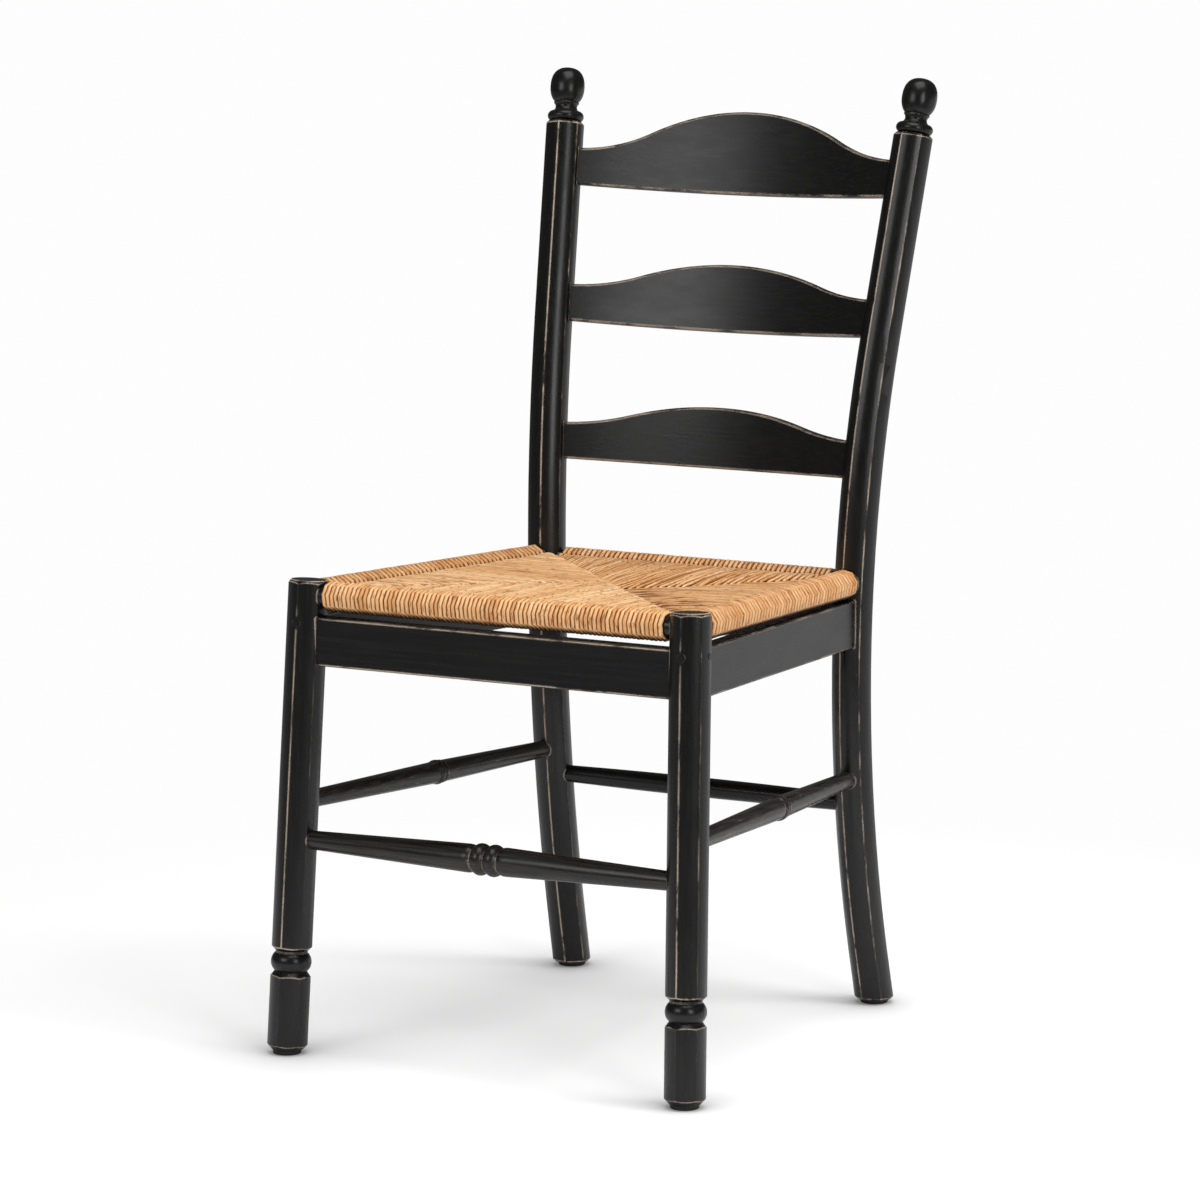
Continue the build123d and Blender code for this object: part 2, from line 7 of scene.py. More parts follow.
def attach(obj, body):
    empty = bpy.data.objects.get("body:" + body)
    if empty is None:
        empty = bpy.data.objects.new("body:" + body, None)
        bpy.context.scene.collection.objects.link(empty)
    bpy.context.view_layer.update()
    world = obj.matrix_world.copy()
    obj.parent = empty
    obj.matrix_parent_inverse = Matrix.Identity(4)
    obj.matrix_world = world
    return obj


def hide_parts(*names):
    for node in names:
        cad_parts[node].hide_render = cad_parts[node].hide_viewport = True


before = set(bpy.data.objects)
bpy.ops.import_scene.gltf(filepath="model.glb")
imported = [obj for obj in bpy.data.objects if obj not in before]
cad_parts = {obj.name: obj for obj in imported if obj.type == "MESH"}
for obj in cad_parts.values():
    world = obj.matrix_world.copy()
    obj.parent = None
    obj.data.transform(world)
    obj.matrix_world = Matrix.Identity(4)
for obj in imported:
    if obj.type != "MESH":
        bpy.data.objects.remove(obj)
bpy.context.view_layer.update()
bpy.ops.object.select_all(action="DESELECT")
print("frame loaded:", len(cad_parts), "CAD nodes")


def hexColor(text):
    channels = [int(text[i:i + 2], 16) / 255 for i in (1, 3, 5)]
    return [c / 12.92 if c <= 0.04045 else ((c + 0.055) / 1.055) ** 2.4 for c in channels] + [1.0]


def addNode(tree, kind, inputs=None, stops=None, **settings):
    node = tree.nodes.new(kind)
    for key, value in settings.items():
        setattr(node, key, value)
    for key, value in (inputs or {}).items():
        if isinstance(value, bpy.types.NodeSocket):
            tree.links.new(value, node.inputs[key])
        else:
            node.inputs[key].default_value = value
    for i, (place, color) in enumerate(stops or []):
        points = node.color_ramp.elements
        point = points[i] if i < 2 else points.new(place)
        point.position, point.color = place, color
    return node


def fromTo(span):
    return {"From Min": span[0], "From Max": span[1]}


def newMaterial(name):
    material = bpy.data.materials.new(name)
    material.use_nodes = True
    return material, material.node_tree, material.node_tree.nodes["Principled BSDF"]


# Beech under brushed black milk paint, rubbed back by hand: the eye sees a deep satin black with faint
# brush streaks along the grain, and thin pale lines where the arrises and rims are worn to the wood
paintLook = {
    "black": "#0b0b0a", "dusty": "#1a1918",      # the coat in its brush marks and between them
    "primer": "#4d4743",                         # thinned paint beside a worn line
    "wood": "#d9c8b4", "oldWood": "#a08d79",
    "streakWide": 0.0022, "streakLong": 0.11,    # brush marks, metres
    "patchWide": 0.016, "patchLong": 0.05,       # stretches that hands and feet rubbed
    "arrisReach": 0.0023,                        # how far wear spreads from a post's soft arris
    "rimReach": {"x": 0.0012, "y": 0.0012, "z": 0.0018},   # and from a square edge or a turned rim
    "aroundRim": {"x": 0.4, "y": 0.4, "z": 0.9},           # how much rims that run round a piece are rubbed
    "grooveReach": 0.006,                        # hollows and joints nearer than this keep their paint
    "satin": 0.25, "dull": 0.31, "bare": 0.7,    # roughness
    "ior": 1.45, "relief": 0.15, "reliefDeep": 0.0003, "wornDeep": 0.7,
    "pegs": [(0.2140, -0.2602, 0.4295), (0.2343, -0.2360, 0.4295)],   # on the right; both sides are touched up
    "pegReach": (0.005, 0.008), "pegWear": 0.42,
    "sideWear": 0.5,                             # wear of an arris that faces sideways
    "footWear": 0.35, "headWear": 0.45, "bandFade": 0.02,   # and of a front post's foot and head
    # each pair runs from no effect to the full one, or from the least to the most
    "arrisTurn": (0.9988, 0.992),                # cosine between the rounded normal and the real one
    "openEdge": (0.74, 0.94), "frontFacing": (0.6, 0.93), "rimTilt": (0.26, 0.38), "rimThin": (0.88, 0.68),
    "arrisPatch": (0.36, 0.6), "arrisLeast": 0.4, "rimPatch": (0.3, 0.55), "rimLeast": 0.84,
    "scuffStreak": (0.48, 0.66), "scuffLeast": 0.8, "uneven": 0.4,
    "through": (0.4, 0.66), "thinned": (0.14, 0.5), "thinMost": 0.6,
    "brushMark": (0.48, 0.8), "sheenPatch": (0.3, 0.7),
}


def wornPaint(name, grain, rubbedBy=1.0, rubbedFrom=-1.0, rubbedTo=2.0, scuffed=0.0):
    look = paintLook
    material, tree, shader = newMaterial(name)
    place = addNode(tree, "ShaderNodeTexCoord").outputs["Object"]

    def stretched(wide, long):
        return [1 / long if axis == grain else 1 / wide for axis in "xyz"]

    streakPlace = addNode(tree, "ShaderNodeMapping", {
        "Vector": place, "Scale": stretched(look["streakWide"], look["streakLong"])})
    streak = addNode(tree, "ShaderNodeTexNoise", {
        "Vector": streakPlace.outputs[0], "Scale": 1.0, "Detail": 3.0, "Roughness": 0.6})
    patchPlace = addNode(tree, "ShaderNodeMapping", {
        "Vector": place, "Scale": stretched(look["patchWide"], look["patchLong"])})
    patch = addNode(tree, "ShaderNodeTexNoise", {
        "Vector": patchPlace.outputs[0], "Scale": 1.0, "Detail": 4.0, "Roughness": 0.65})

    # soft arrises show where the rounded normal leaves the real one, and hollows are left out
    rounded = addNode(tree, "ShaderNodeBevel", {"Radius": look["arrisReach"]}, samples=6)
    surface = addNode(tree, "ShaderNodeNewGeometry")
    agree = addNode(tree, "ShaderNodeVectorMath", {
        0: rounded.outputs[0], 1: surface.outputs["Normal"]}, operation="DOT_PRODUCT")
    turn = addNode(tree, "ShaderNodeMapRange", {
        "Value": agree.outputs["Value"], **fromTo(look["arrisTurn"])})
    openness = addNode(tree, "ShaderNodeAmbientOcclusion", {
        "Distance": look["grooveReach"]}, samples=6)
    convex = addNode(tree, "ShaderNodeMapRange", {
        "Value": openness.outputs["AO"], **fromTo(look["openEdge"]), "To Max": rubbedBy})
    arris = addNode(tree, "ShaderNodeMath", {0: turn.outputs[0], 1: convex.outputs[0]}, operation="MULTIPLY")

    # arrises that face front or back are rubbed most, and the foot and head of a front post least
    toward = addNode(tree, "ShaderNodeVectorMath", {0: rounded.outputs[0]}, operation="ABSOLUTE")
    toward = addNode(tree, "ShaderNodeSeparateXYZ", {"Vector": toward.outputs[0]}).outputs
    frontMost = addNode(tree, "ShaderNodeMapRange", {
        "Value": toward["Y"], **fromTo(look["frontFacing"]), "To Min": look["sideWear"]})
    high = addNode(tree, "ShaderNodeSeparateXYZ", {"Vector": place}).outputs["Z"]
    aboveFoot = addNode(tree, "ShaderNodeMapRange", {
        "Value": high, **fromTo((rubbedFrom, rubbedFrom + look["bandFade"])), "To Min": look["footWear"]})
    belowHead = addNode(tree, "ShaderNodeMapRange", {
        "Value": high, **fromTo((rubbedTo, rubbedTo + look["bandFade"])),
        "To Min": 1.0, "To Max": look["headWear"]})
    rubbedPart = addNode(tree, "ShaderNodeMath", {
        0: aboveFoot.outputs[0], 1: belowHead.outputs[0]}, operation="MULTIPLY")
    along = addNode(tree, "ShaderNodeMath", {
        0: frontMost.outputs[0], 1: rubbedPart.outputs[0]}, operation="MULTIPLY")
    around = addNode(tree, "ShaderNodeMapRange", {
        "Value": toward["Z"], **fromTo(look["rimTilt"]), "To Max": look["aroundRim"][grain]})
    most = addNode(tree, "ShaderNodeMath", {0: along.outputs[0], 1: around.outputs[0]}, operation="MAXIMUM")

    # square edges and rims show where the wood behind the surface is thin
    behind = addNode(tree, "ShaderNodeAmbientOcclusion", {
        "Distance": look["rimReach"][grain]}, samples=8, inside=True, only_local=True)
    rim = addNode(tree, "ShaderNodeMapRange", {
        "Value": behind.outputs["AO"], **fromTo(look["rimThin"])})

    rubbed = addNode(tree, "ShaderNodeMapRange", {
        "Value": patch.outputs["Fac"], **fromTo(look["arrisPatch"]), "To Min": look["arrisLeast"]})
    arrisPart = addNode(tree, "ShaderNodeMath", {0: arris.outputs[0], 1: most.outputs[0]}, operation="MULTIPLY")
    arrisWear = addNode(tree, "ShaderNodeMath", {
        0: arrisPart.outputs[0], 1: rubbed.outputs[0]}, operation="MULTIPLY")
    rimRubbed = addNode(tree, "ShaderNodeMapRange", {
        "Value": patch.outputs["Fac"], **fromTo(look["rimPatch"]), "To Min": look["rimLeast"]})
    rimOpen = addNode(tree, "ShaderNodeMath", {0: rim.outputs[0], 1: convex.outputs[0]}, operation="MULTIPLY")
    rimWear = addNode(tree, "ShaderNodeMath", {
        0: rimOpen.outputs[0], 1: rimRubbed.outputs[0]}, operation="MULTIPLY")
    edges = addNode(tree, "ShaderNodeMath", {
        0: arrisWear.outputs[0], 1: rimWear.outputs[0]}, operation="MAXIMUM")

    # feet wear a stretcher's paint thin all over, and thinnest in streaks
    scuffs = addNode(tree, "ShaderNodeMapRange", {
        "Value": streak.outputs["Fac"], **fromTo(look["scuffStreak"]),
        "To Min": scuffed * look["scuffLeast"], "To Max": scuffed})
    amount = addNode(tree, "ShaderNodeMath", {0: edges.outputs[0], 1: scuffs.outputs[0]}, operation="MAXIMUM")

    # the pegs' surrounds were touched up, on the left as on the right
    mirrored = addNode(tree, "ShaderNodeVectorMath", {0: place}, operation="ABSOLUTE")
    mirrored = addNode(tree, "ShaderNodeVectorMath", {
        0: mirrored.outputs[0], 1: (1, -1, 1)}, operation="MULTIPLY")
    for spot in look["pegs"]:
        apart = addNode(tree, "ShaderNodeVectorMath", {0: mirrored.outputs[0], 1: spot}, operation="DISTANCE")
        kept = addNode(tree, "ShaderNodeMapRange", {
            "Value": apart.outputs["Value"], **fromTo(look["pegReach"]), "To Min": look["pegWear"]})
        amount = addNode(tree, "ShaderNodeMath", {
            0: amount.outputs[0], 1: kept.outputs[0]}, operation="MULTIPLY")

    # streaks make the wear uneven, and it goes from thinned paint through to the wood
    uneven = addNode(tree, "ShaderNodeMath", {
        0: streak.outputs["Fac"], 1: look["uneven"], 2: -look["uneven"] / 2}, operation="MULTIPLY_ADD")
    level = addNode(tree, "ShaderNodeMath", {0: amount.outputs[0], 1: uneven.outputs[0]}, operation="ADD")
    wear = addNode(tree, "ShaderNodeMapRange", {
        "Value": level.outputs[0], **fromTo(look["through"])})
    thin = addNode(tree, "ShaderNodeMapRange", {
        "Value": level.outputs[0], **fromTo(look["thinned"]), "To Max": look["thinMost"]})

    brush = addNode(tree, "ShaderNodeMapRange", {
        "Value": streak.outputs["Fac"], **fromTo(look["brushMark"])})
    coat = addNode(tree, "ShaderNodeMix", {
        0: brush.outputs[0], 6: hexColor(look["black"]), 7: hexColor(look["dusty"])}, data_type="RGBA")
    worn = addNode(tree, "ShaderNodeMix", {
        0: thin.outputs[0], 6: coat.outputs[2], 7: hexColor(look["primer"])}, data_type="RGBA")
    wood = addNode(tree, "ShaderNodeMix", {
        0: streak.outputs["Fac"], 6: hexColor(look["oldWood"]), 7: hexColor(look["wood"])}, data_type="RGBA")
    color = addNode(tree, "ShaderNodeMix", {
        0: wear.outputs[0], 6: worn.outputs[2], 7: wood.outputs[2]}, data_type="RGBA")
    tree.links.new(color.outputs[2], shader.inputs["Base Color"])

    sheen = addNode(tree, "ShaderNodeMapRange", {
        "Value": patch.outputs["Fac"], **fromTo(look["sheenPatch"]),
        "To Min": look["satin"], "To Max": look["dull"]})
    rough = addNode(tree, "ShaderNodeMix", {
        0: wear.outputs[0], 2: sheen.outputs[0], 3: look["bare"]}, data_type="FLOAT")
    tree.links.new(rough.outputs[0], shader.inputs["Roughness"])
    height = addNode(tree, "ShaderNodeMath", {
        0: wear.outputs[0], 1: -look["wornDeep"], 2: streak.outputs["Fac"]}, operation="MULTIPLY_ADD")
    bump = addNode(tree, "ShaderNodeBump", {
        "Height": height.outputs[0], "Strength": look["relief"], "Distance": look["reliefDeep"]})
    tree.links.new(bump.outputs[0], shader.inputs["Normal"])
    shader.inputs["IOR"].default_value = look["ior"]
    return material


# Grain runs along each piece: posts stand, slats and front pieces lie across, side pieces run back
woodPaint = [
    # material, grain, wear of its own, pieces
    ("on_beech_z", "z", {}, ["rear_post_left", "rear_post_right"]),
    ("on_beech_x", "x", {}, ["top_slat", "middle_slat", "lower_slat", "seat_rail_front", "seat_rail_rear",
                             "apron_front", "apron_rear", "rear_stretcher"]),
    ("on_beech_y", "y", {}, ["seat_rail_left", "seat_rail_right", "apron_left", "apron_right"]),
    ("on_front_posts", "z", {"rubbedFrom": 0.085, "rubbedTo": 0.43}, ["front_post_left", "front_post_right"]),
    ("on_turned_finials", "z", {"rubbedBy": 0.45}, ["finial_left", "finial_right"]),
    ("on_pegs", "y", {"rubbedBy": 0.2}, ["apron_pegs"]),
    ("scuffed_on_front_stretcher", "x", {"scuffed": 0.26}, ["front_stretcher"]),
    ("scuffed_on_side_stretchers", "y", {"scuffed": 0.35}, ["side_stretcher_left", "side_stretcher_right"]),
]
for name, grain, wear, pieces in woodPaint:
    paint = wornPaint("black_milk_paint_" + name, grain, **wear)
    for piece in pieces:
        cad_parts[piece].material_slots[0].material = paint
print("worn paint on", sum(len(pieces) for name, grain, wear, pieces in woodPaint), "wood pieces")


# Moulded nylon: a dull even black with a fine grit
glideLook = {"color": "#191918", "grit": 0.0006, "roughness": 0.6, "relief": 0.3, "reliefDeep": 0.0002}
nylon, tree, shader = newMaterial("moulded_nylon_glide")
shader.inputs["Base Color"].default_value = hexColor(glideLook["color"])
shader.inputs["Roughness"].default_value = glideLook["roughness"]
grit = addNode(tree, "ShaderNodeTexNoise", {
    "Vector": addNode(tree, "ShaderNodeTexCoord").outputs["Object"], "Scale": 1 / glideLook["grit"]})
bump = addNode(tree, "ShaderNodeBump", {
    "Height": grit.outputs["Fac"], "Strength": glideLook["relief"], "Distance": glideLook["reliefDeep"]})
tree.links.new(bump.outputs[0], shader.inputs["Normal"])
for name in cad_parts:
    if name.startswith("foot_glide"):
        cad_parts[name].material_slots[0].material = nylon
print("glides done")


# Rush seat: four triangles of cord, each strand from the seam over its rail and back underneath.
# The rolls over the rails stand proud, and the panel between them lies lower
rush = {
    "frontRail": (0.21336, -0.23767, 0.4550),    # right ends of the rails, on the post centre lines
    "rearRail": (0.17939, 0.16804, 0.4440),
    "rail": {"front": 0.01075, "left": 0.01075, "right": 0.01075, "rear": 0.00825},
    "postClear": 0.0235,                         # bare rail beside each post, from the post's centre
    "cord": 0.0046,                              # thickness; the cord is pressed wider on three sides
    "spread": {"front": 1.03, "rear": 1.22, "left": 1.52, "right": 1.52},
    "middle": -0.0185,                           # where the four seams meet
    "panel": {"front": 0.0056, "left": 0.0056, "right": 0.0050, "rear": 0.0048},   # over the rails' centres
    "fall": {"front": 0.0, "left": 0.0, "right": 0.0078, "rear": 0.0064},   # lower by this at the seam
    "fallOver": 0.12,                            # on strands of this reach or more
    "lap": {"front": 0.002, "left": 0.002, "right": -0.001, "rear": -0.001},    # past the seam
    "dive": {"front": -0.002, "left": -0.002, "right": 0.003, "rear": 0.003},   # of the tip there
    "tail": {"front": 0.97, "left": 0.97, "right": 0.46, "rear": 0.6},          # cord width there
    "fat": 1.03, "pinch": 0.66, "wrapped": 1.03,   # and in the panel, at the roll's foot and round the rail
    "shoulder": 0.006, "under": 0.0105,          # start of the seam's edge, and depth of the underside
    "footGap": 0.0016, "footDip": 0.0006, "rise": 0.008, "riseMost": 0.2,   # where panel and roll meet
    "leastPanel": 0.004, "longPanel": 0.06, "stray": 0.08,
    "turns": (54, 10, -34, -78, -122, -166),     # points round the rail, degrees from the top
    "wander": 0.0009, "lift": 0.0005, "uneven": 0.08, "swell": 0.12,
    "seed": 11,
}
frontX, frontY, frontZ = rush["frontRail"]
rearX, rearY, rearZ = rush["rearRail"]
cornerFront = (frontX - rush["postClear"], frontY + rush["postClear"])
cornerRear = (rearX - rush["postClear"], rearY - rush["postClear"])
middleY = rush["middle"]
draw = random.Random(rush["seed"])
rows = {}


def between(a, b, share):
    return a + (b - a) * share


def seatHeight(y):
    return between(frontZ, rearZ, (y - frontY) / (rearY - frontY))


def sideRail(y):
    return between(frontX, rearX, (y - frontY) / (rearY - frontY))


def strand(side, rail, inward, reach):
    # points from the seam on top, over the roll, to the seam underneath, each with its width;
    # loose is how freely a point wanders
    aside = Vector((-inward.y, inward.x, 0))
    wrap = rush["rail"][side] + rush["cord"] / 2
    panel, tail, fat = rush["panel"][side], rush["tail"][side], rush["fat"]
    seam = panel - rush["fall"][side] * min(reach / rush["fallOver"], 1)
    foot = math.sqrt(wrap ** 2 - panel ** 2) + rush["footGap"]
    shoulder = max(reach - rush["shoulder"], foot + rush["leastPanel"])
    points = []

    def put(along, height, loose, width=1.0):
        spot = rail + inward * along + aside * draw.uniform(-1, 1) * rush["wander"] * loose
        spot.z = seatHeight(spot.y) + height + draw.uniform(-1, 1) * rush["lift"] * loose
        points.append((spot, width * (1 + draw.uniform(-1, 1) * rush["swell"] * loose)))

    put(reach + rush["lap"][side], -rush["dive"][side], 0.3, tail)
    put(shoulder, seam, 1.0, tail)
    for share in (0.75, 0.5, 0.25) if shoulder - foot > rush["longPanel"] else (0.5,):
        along = between(foot, shoulder, share + draw.uniform(-rush["stray"], rush["stray"]))
        put(along, between(panel, seam, share ** 2), 1.2, fat)
    put(between(foot, shoulder, min(rush["rise"] / (shoulder - foot), rush["riseMost"])), panel, 1.0, fat)
    put(foot, panel - rush["footDip"], 0.7, rush["pinch"])
    for turn in rush["turns"]:
        angle = math.radians(turn)
        put(wrap * math.sin(angle), wrap * math.cos(angle), 0.3, rush["wrapped"])
    put(reach, -rush["under"], 0.5, fat)
    return side, points


def evenly(low, high, side):
    count = round((high - low) / (rush["cord"] * rush["spread"][side]))
    rows[side] = (low, (high - low) / count)
    return [low + (high - low) * (i + 0.5) / count for i in range(count)]


strands = []
for x in evenly(-cornerFront[0], cornerFront[0], "front"):
    seam = between(cornerFront[1], middleY, 1 - abs(x) / cornerFront[0])
    strands.append(strand("front", Vector((x, frontY, 0)), Vector((0, 1, 0)), seam - frontY))
for x in evenly(-cornerRear[0], cornerRear[0], "rear"):
    seam = between(cornerRear[1], middleY, 1 - abs(x) / cornerRear[0])
    strands.append(strand("rear", Vector((x, rearY, 0)), Vector((0, -1, 0)), rearY - seam))
for y in evenly(cornerFront[1], cornerRear[1], "left"):
    corner = cornerFront if y < middleY else cornerRear
    seam = corner[0] * (y - middleY) / (corner[1] - middleY)
    for side, way in (("right", 1), ("left", -1)):
        rail = Vector((way * sideRail(y), y, 0))
        strands.append(strand(side, rail, Vector((-way, 0, 0)), sideRail(y) - seam))

# Twisted bulrush, lightly sealed: golden tan cords, no two the same, with fine fibre lines along each
# cord, and dark brown painted shade in the gaps between them
rushLook = {
    # the gap colour is painted shade, mixed in where cords meet and hollows close in
    "light": "#fbd7aa", "middle": "#edbc85", "dark": "#c88e54", "gapShade": "#8f5826",
    "fibreWide": 0.0011, "fibreLong": 0.014, "stain": 0.02,
    "fleckWide": 0.0017, "fleckLong": 0.008,     # dark flecks along the cords: painted shade of small pits between them
    "pitShade": (0.57, 0.68), "pitShadeLeast": 0.25,
    "cordShade": 0.3, "stainShade": 0.24, "fibreShade": 0.5,   # what each adds to a cord's tone
    "tones": {"dark": 0.25, "light": 0.78, "middle": 0.48},
    "undersideShade": "#3f2a14", "undersideShadeFacing": (-0.5, -0.75),   # painted shade: faces that look down are made darker
    # painted light and shade: each side, and each roll, is made lighter or darker to even out how the lamps
    # fall on it
    "tint": {"front": "#ffffff", "left": "#fffdfa", "right": "#f2e8de", "rear": "#f6ece2"},
    "rollShade": {"front": "#fff4e7", "left": "#e6dac8", "right": "#fdf9f4", "rear": "#ffffff"},
    "roll": (0.017, 0.013),                      # from the rail's centre inwards, where the roll begins
    # painted shade: openness over which gaps darken, and what is left of the colour where cords touch
    "open": {"front": (0.3, 0.8), "left": (0.42, 0.96), "right": (0.45, 1.0), "rear": (0.42, 0.92)},
    "touchShade": {"front": 0.9, "left": 0.25, "right": 0.1, "rear": 0.3}, "touchShadeWide": (0.06, 0.24),
    "gapShadeReach": 0.004, "roughness": 0.48, "relief": 0.5, "reliefDeep": 0.0005,
}

# Each rail's inward direction and a point on it
sideInward = Vector((rearY - frontY, rearX - frontX, 0)).normalized()
railLines = {
    "front": (Vector((0, 1, 0)), Vector((0, frontY, 0))), "rear": (Vector((0, -1, 0)), Vector((0, rearY, 0))),
    "left": (sideInward, Vector((-frontX, frontY, 0))),
    "right": (Vector((-sideInward.x, sideInward.y, 0)), Vector((frontX, frontY, 0))),
}


def twistedRush(side, across):
    look = rushLook
    material, tree, shader = newMaterial("twisted_bulrush_" + side)
    place = addNode(tree, "ShaderNodeTexCoord").outputs["Object"]
    fibrePlace = addNode(tree, "ShaderNodeMapping", {
        "Vector": place,
        "Scale": [1 / look["fibreWide"] if axis == across else 1 / look["fibreLong"] for axis in "xyz"]})
    fibre = addNode(tree, "ShaderNodeTexNoise", {
        "Vector": fibrePlace.outputs[0], "Scale": 1.0, "Detail": 3.0, "Roughness": 0.65})
    stain = addNode(tree, "ShaderNodeTexNoise", {
        "Vector": place, "Scale": 1 / look["stain"], "Detail": 2.0, "Roughness": 0.5})
    surface = addNode(tree, "ShaderNodeNewGeometry").outputs
    stained = addNode(tree, "ShaderNodeMath", {
        0: stain.outputs["Fac"], 1: look["stainShade"]}, operation="MULTIPLY")
    cordTone = addNode(tree, "ShaderNodeMath", {
        0: surface["Random Per Island"], 1: look["cordShade"], 2: stained.outputs[0]}, operation="MULTIPLY_ADD")
    mixed = addNode(tree, "ShaderNodeMath", {
        0: fibre.outputs["Fac"], 1: look["fibreShade"], 2: cordTone.outputs[0]}, operation="MULTIPLY_ADD")
    tone = addNode(tree, "ShaderNodeValToRGB", {"Fac": mixed.outputs[0]}, stops=[
        (at, hexColor(look[name])) for name, at in look["tones"].items()])
    fleckPlace = addNode(tree, "ShaderNodeMapping", {
        "Vector": place,
        "Scale": [1 / look["fleckWide"] if axis == across else 1 / look["fleckLong"] for axis in "xyz"]})
    fleck = addNode(tree, "ShaderNodeTexNoise", {
        "Vector": fleckPlace.outputs[0], "Scale": 1.0, "Detail": 2.0, "Roughness": 0.5})
    # painted shade: flecks darken the cords towards the gap colour, as pits between them would
    pitShaded = addNode(tree, "ShaderNodeMapRange", {
        "Value": fleck.outputs["Fac"], **fromTo(look["pitShade"]), "To Min": 1.0, "To Max": look["pitShadeLeast"]})
    # painted shade: gaps, and the edges where cords touch, darken towards the gap colour
    gapShade = addNode(tree, "ShaderNodeAmbientOcclusion", {"Distance": look["gapShadeReach"]}, samples=6)
    opened = addNode(tree, "ShaderNodeMapRange", {
        "Value": gapShade.outputs["AO"], **fromTo(look["open"][side])})
    clear = addNode(tree, "ShaderNodeMath", {0: opened.outputs[0], 1: pitShaded.outputs[0]}, operation="MULTIPLY")
    start, pitch = rows[side]
    row = addNode(tree, "ShaderNodeSeparateXYZ", {"Vector": place}).outputs[across.upper()]
    row = addNode(tree, "ShaderNodeMath", {0: row, 1: 1 / pitch, 2: -start / pitch}, operation="MULTIPLY_ADD")
    inside = addNode(tree, "ShaderNodeMath", {0: row.outputs[0], 1: 0.5}, operation="PINGPONG")
    touchShade = addNode(tree, "ShaderNodeMapRange", {
        "Value": inside.outputs[0], **fromTo(look["touchShadeWide"]), "To Min": look["touchShade"][side]})
    unshadedShare = addNode(tree, "ShaderNodeMath", {0: clear.outputs[0], 1: touchShade.outputs[0]}, operation="MULTIPLY")
    color = addNode(tree, "ShaderNodeMix", {
        0: unshadedShare.outputs[0], 6: hexColor(look["gapShade"]), 7: tone.outputs["Color"]}, data_type="RGBA")
    # painted light and shade: each side's colour, and then the roll's, is multiplied by its own shade
    sideShaded = addNode(tree, "ShaderNodeMix", {
        0: 1.0, 6: color.outputs[2], 7: hexColor(look["tint"][side])}, data_type="RGBA", blend_type="MULTIPLY")
    inward, rail = railLines[side]
    fromRail = addNode(tree, "ShaderNodeVectorMath", {0: place, 1: inward}, operation="DOT_PRODUCT")
    fromRail = addNode(tree, "ShaderNodeMath", {
        0: fromRail.outputs["Value"], 1: inward.dot(rail)}, operation="SUBTRACT")
    onRoll = addNode(tree, "ShaderNodeMapRange", {
        "Value": fromRail.outputs[0], **fromTo(look["roll"])})
    rolled = addNode(tree, "ShaderNodeMix", {
        0: onRoll.outputs[0], 6: sideShaded.outputs[2], 7: hexColor(look["rollShade"][side])},
        data_type="RGBA", blend_type="MULTIPLY")
    # painted shade: the underside is darkened where the cords face down
    downward = addNode(tree, "ShaderNodeSeparateXYZ", {"Vector": surface["Normal"]})
    below = addNode(tree, "ShaderNodeMapRange", {
        "Value": downward.outputs["Z"], **fromTo(look["undersideShadeFacing"])})
    finish = addNode(tree, "ShaderNodeMix", {
        0: below.outputs[0], 6: rolled.outputs[2], 7: hexColor(look["undersideShade"])}, data_type="RGBA")
    tree.links.new(finish.outputs[2], shader.inputs["Base Color"])
    shader.inputs["Roughness"].default_value = look["roughness"]
    bump = addNode(tree, "ShaderNodeBump", {
        "Height": fibre.outputs["Fac"], "Strength": look["relief"], "Distance": look["reliefDeep"]})
    tree.links.new(bump.outputs[0], shader.inputs["Normal"])
    return material


# The cords are round where they are drawn, and pressed to their width once they are mesh
woven = []
rows["right"] = rows["left"]
for side, axis in (("front", 0), ("rear", 0), ("left", 1), ("right", 1)):
    spread = rush["spread"][side]
    curve = bpy.data.curves.new("rush_" + side, "CURVE")
    curve.dimensions = "3D"
    curve.bevel_depth = rush["cord"] / 2
    curve.bevel_resolution = 1
    curve.use_fill_caps = True
    curve.materials.append(twistedRush(side, "xy"[axis]))
    for points in [points for owner, points in strands if owner == side]:
        spline = curve.splines.new("POLY")
        spline.points.add(len(points) - 1)
        thick = 1 + draw.uniform(-1, 1) * rush["uneven"]
        for point, (spot, width) in zip(spline.points, points):
            spot[axis] /= spread
            point.co = (*spot, 1)
            point.radius = thick * width
        spline.use_smooth = True
    piece = bpy.data.objects.new("rush_" + side, curve)
    bpy.context.scene.collection.objects.link(piece)
    bpy.context.view_layer.objects.active = piece
    piece.select_set(True)
    bpy.ops.object.convert(target="MESH")
    piece = bpy.context.object
    for vertex in piece.data.vertices:
        vertex.co[axis] *= spread
    bpy.ops.object.select_all(action="DESELECT")
    woven.append(piece)
for piece in woven:
    piece.select_set(True)
bpy.context.view_layer.objects.active = woven[0]
bpy.ops.object.join()
rushWeave = bpy.context.object
rushWeave.name = rushWeave.data.name = "rush_weave"
bpy.ops.object.select_all(action="DESELECT")
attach(rushWeave, "root")
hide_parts("rush_seat")
print("rush:", len(strands), "strands,", len(rushWeave.data.polygons), "faces")

